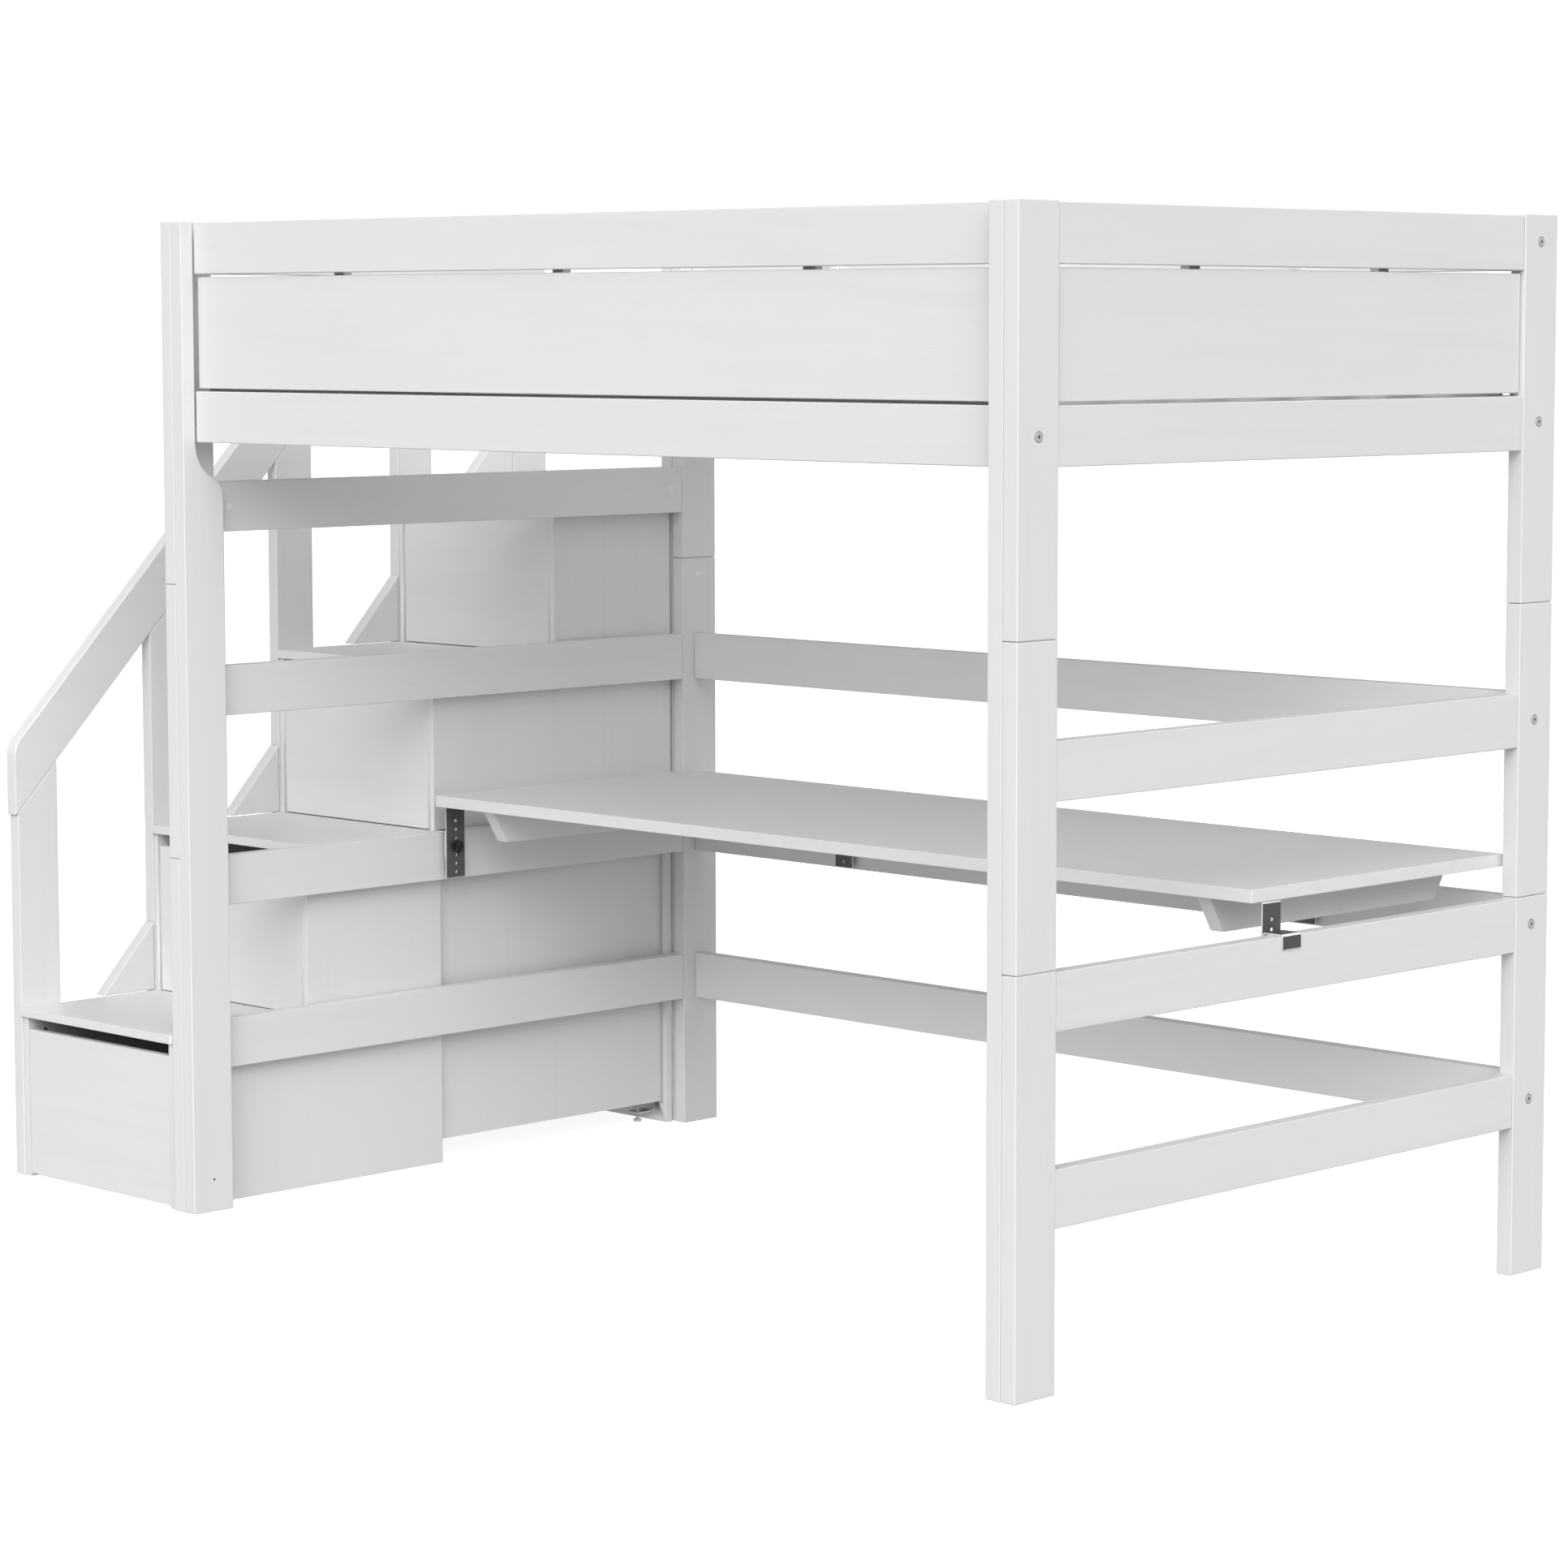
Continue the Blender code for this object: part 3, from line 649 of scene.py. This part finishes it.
def cleat_centers(name):
    """Middles of the cleats along a panel, from the vertices at the cleats' tops."""
    along = 1 if name == "right_panel" else 0
    high = [v.co[along] for v in NODES[name].data.vertices if v.co[2] > CLEAT_TIP_Z]
    spots = []
    for value in sorted(high):
        if not spots or value - spots[-1][-1] > 0.1:
            spots.append([value])
        else:
            spots[-1].append(value)
    return [(group[0] + group[-1]) / 2 for group in spots]


SLATS = 15
SLAT_W = 0.070


def build_slat_screws():
    """One screw at each end of every slat."""
    bm = bmesh.new()
    low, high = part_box("slatted_base")
    pitch = (high[0] - low[0] - SLAT_W) / (SLATS - 1)
    for i in range(SLATS):
        x = low[0] + pitch * i + SLAT_W / 2
        for y in (low[1] + 0.032, high[1] - 0.033):
            screw_head(bm, (0, 0, 1), (x, y, high[2]), 0.0038)
    add_object("slat_screws", bm, [ZINC], BED)


SHELF_Z = 0.020           # middle of the leveller bracket's level leg
LEVELLER_SCREW = [(0.0045, 0.0030), (0.052, 0.0030), (0.053, 0.0024)]
LEVELLER_FOOT = [(0.0002, 0.0072), (0.0010, 0.0080), (0.0042, 0.0080), (0.0052, 0.0072),
                 (0.0052, 0.0034)]


def build_leveller():
    """Angle bracket on the support's back board with a screw-down foot."""
    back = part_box("stair_case_high")[1][1] - 0.0155
    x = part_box("stair_support")[1][0] - 0.052
    at = (x, back - 0.033, 0.0)
    upright = -0.0013
    points = [(-0.046, SHELF_Z), (upright, SHELF_Z), (upright, SHELF_Z + 0.040)]
    bm = sheet_strip(points, SHEET, 0.0025, 0.034, lambda a, o, z: (x + a, back + o, z))
    # The leveller bracket's bends also get the near-white painted highlight.
    add_object("leveller_bracket", bm, [ZINC, CUT_STEEL, BEND_HIGHLIGHT_STEEL], BED)
    screw = bmesh.new()
    turned(screw, LEVELLER_SCREW, 32, (0, 0, 1), at)
    turned(screw, [(SHELF_Z + 0.0013, 0.0055), (SHELF_Z + 0.0060, 0.0055)], 6, (0, 0, 1), at)
    add_object("leveller_screw", screw, [ZINC], BED)
    foot = bmesh.new()
    turned(foot, LEVELLER_FOOT, 48, (0, 0, 1), at)
    add_object("leveller_foot", foot, [FOOT], BED)


PANEL_T = 0.016           # stair side panels
CASE_SCREW_IN = 0.045
CASE_SCREW_DROP = 0.028


def build_case_screws():
    """Dark screws inside the drawer bays, at the tops of the drawer fronts."""
    bm = bmesh.new()
    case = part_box("stair_case_low")
    for number in range(1, 5):
        front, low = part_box("stair_tread_%d" % number)[0][1:]
        for x, way in ((case[0][0] + PANEL_T, 1), (case[1][0] - PANEL_T, -1)):
            screw_head(bm, (way, 0, 0), (x, front + CASE_SCREW_IN, low - CASE_SCREW_DROP), 0.0040)
    add_object("case_screws", bm, [SCREW], BED)


def build_drawer_fixings():
    """Screws inside each drawer that hold its front board."""
    for number in range(1, 5):
        bm = bmesh.new()
        low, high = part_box("stair_drawer_%d" % number)
        y = low[1] + 0.0165
        for x in (low[0] + 0.06, (low[0] + high[0]) / 2, high[0] - 0.06):
            for z in (low[2] + 0.05, high[2] - 0.06):
                screw_head(bm, (0, 1, 0), (x, y, z), 0.0042)
        add_object("drawer_screws_%d" % number, bm, [ZINC], "drawer_%d" % number)


# ------------------------------------------------------------------ stage

FLOOR_Z = -0.0004
RIM_R, SWEEP_R, WALL_TOP = 22.0, 8.0, 40.0
TURNS = 72                # sides of the round floor


def paper_mesh():
    """A wide round sheet whose rim sweeps up into a wall all the way round."""
    profile = [(6.0, 0.0), (RIM_R, 0.0)]
    profile += [(RIM_R + SWEEP_R * math.sin(a), SWEEP_R - SWEEP_R * math.cos(a))
                for a in (math.pi / 2 * i / 12 for i in range(1, 13))]
    profile += [(RIM_R + SWEEP_R, WALL_TOP)]
    bm = bmesh.new()
    hub = bm.verts.new((0.0, 0.0, FLOOR_Z))
    rings = []
    for radius, height in profile:
        rings.append([bm.verts.new((radius * math.cos(t), radius * math.sin(t), height + FLOOR_Z))
                      for t in (2 * math.pi * i / TURNS for i in range(TURNS))])
    for i in range(TURNS):
        j = (i + 1) % TURNS
        bm.faces.new((hub, rings[0][i], rings[0][j]))
        for low, high in zip(rings, rings[1:]):
            bm.faces.new((low[i], high[i], high[j], low[j]))
    mesh = bpy.data.meshes.new("studio_floor")
    bm.to_mesh(mesh)
    bm.free()
    mesh.shade_smooth()
    return mesh


def build_floor():
    """White paper that glows for the camera and lights nothing."""
    mesh = paper_mesh()
    g = material("studio_paper")
    speck = g.noise(g.coords(), 3.0, 2.0, 0.5)
    g.surface(Base_Color=g.ramp(speck, [(0.3, 0.27), (0.7, 0.29)]), Roughness=0.9,
              Specular_IOR_Level=0.0, Emission_Color=(1.0, 1.0, 1.0, 1.0),
              Emission_Strength=0.90)
    mesh.materials.append(g.mat)
    floor = bpy.data.objects.new("studio_floor", mesh)
    bpy.context.scene.collection.objects.link(floor)
    floor.visible_diffuse = False
    floor.visible_glossy = False
    floor.visible_shadow = False


def area(name, at, target, size, power):
    """A rectangular lamp aimed at a point."""
    data = bpy.data.lights.new(name, "AREA")
    data.shape = "RECTANGLE"
    data.size, data.size_y = size
    data.energy = power
    lamp = bpy.data.objects.new(name, data)
    lamp.location = at
    lamp.rotation_euler = (Vector(target) - Vector(at)).to_track_quat("-Z", "Y").to_euler()
    bpy.context.scene.collection.objects.link(lamp)
    return lamp


# The sky over a direction is SKY_LEAN . direction + SKY_LEVEL, never under SKY_LEAST. It takes
# over from the level light near the ground while the direction climbs through SKY_RISE.
SKY_LEAN = (6.189, -7.058, -0.80)
SKY_LEVEL = -2.17
SKY_LEAST = 0.25
SKY_RISE = (0.1, 0.50)
GROUND_LEVEL = 0.50
SKY_COLOR = (0.994, 1.0, 1.012, 1.0)


def build_sky():
    """A light tent: brightest in front and on the right, dim overhead and behind."""
    world = bpy.data.worlds.new("studio")
    bpy.context.scene.world = world
    g = Graph(world, "Background")
    way = g.node("ShaderNodeTexCoord").outputs["Generated"]
    lean = g.node("ShaderNodeVectorMath", operation="DOT_PRODUCT")
    g.feed(lean.inputs[0], way)
    g.feed(lean.inputs[1], SKY_LEAN)
    sky = g.math("MAXIMUM", g.math("ADD", lean.outputs["Value"], SKY_LEVEL), SKY_LEAST)
    split = g.put(g.node("ShaderNodeSeparateXYZ"), Vector=way)
    rise = g.node("ShaderNodeMapRange", interpolation_type="SMOOTHSTEP")
    g.put(rise, Value=split.outputs["Z"], From_Min=SKY_RISE[0], From_Max=SKY_RISE[1])
    blend = g.node("ShaderNodeMix", data_type="FLOAT")
    for index, value in ((0, rise.outputs["Result"]), (2, GROUND_LEVEL), (3, sky)):
        g.feed(blend.inputs[index], value)
    g.surface(Color=SKY_COLOR, Strength=blend.outputs[0])


def build_light():
    """The tent, a small lamp overhead and a low wide one for the far sides."""
    build_sky()
    area("top", (0.8, -1.2, 6.0), (0.2, 0.0, 0.6), (1.6, 1.6), 20.0)
    behind = area("behind", (-4.4, 4.8, 0.70), (0.0, 0.0, 0.70), (4.0, 1.3), 240.0)
    behind.visible_glossy = False
    behind.visible_camera = False
    bpy.context.scene.view_settings.view_transform = "Standard"


CAMERA_PLACE = (5.5833, -5.3966, 1.6086)
CAMERA_DOWN = math.radians(5.577)     # tilt under the horizon
CAMERA_TURN = math.radians(44.338)
CAMERA_LENS = 100.11
CAMERA_SHIFT = (-0.04894, -0.02183)


def build_camera():
    """The studio camera, in front and to the right."""
    data = bpy.data.cameras.new("camera")
    data.sensor_width = 36.0
    data.lens = CAMERA_LENS
    data.shift_x, data.shift_y = CAMERA_SHIFT
    data.clip_end = 200.0
    camera = bpy.data.objects.new("camera", data)
    camera.location = CAMERA_PLACE
    camera.rotation_euler = (math.pi / 2 - CAMERA_DOWN, 0.0, CAMERA_TURN)
    bpy.context.scene.collection.objects.link(camera)
    bpy.context.scene.camera = camera


build_camera()
build_light()
build_floor()
dress_boards()
build_brackets()
build_bolts()
build_caps()
build_drill_holes()
build_panel_pins()
build_cleat_screws()
build_slat_screws()
build_leveller()
build_case_screws()
build_drawer_fixings()
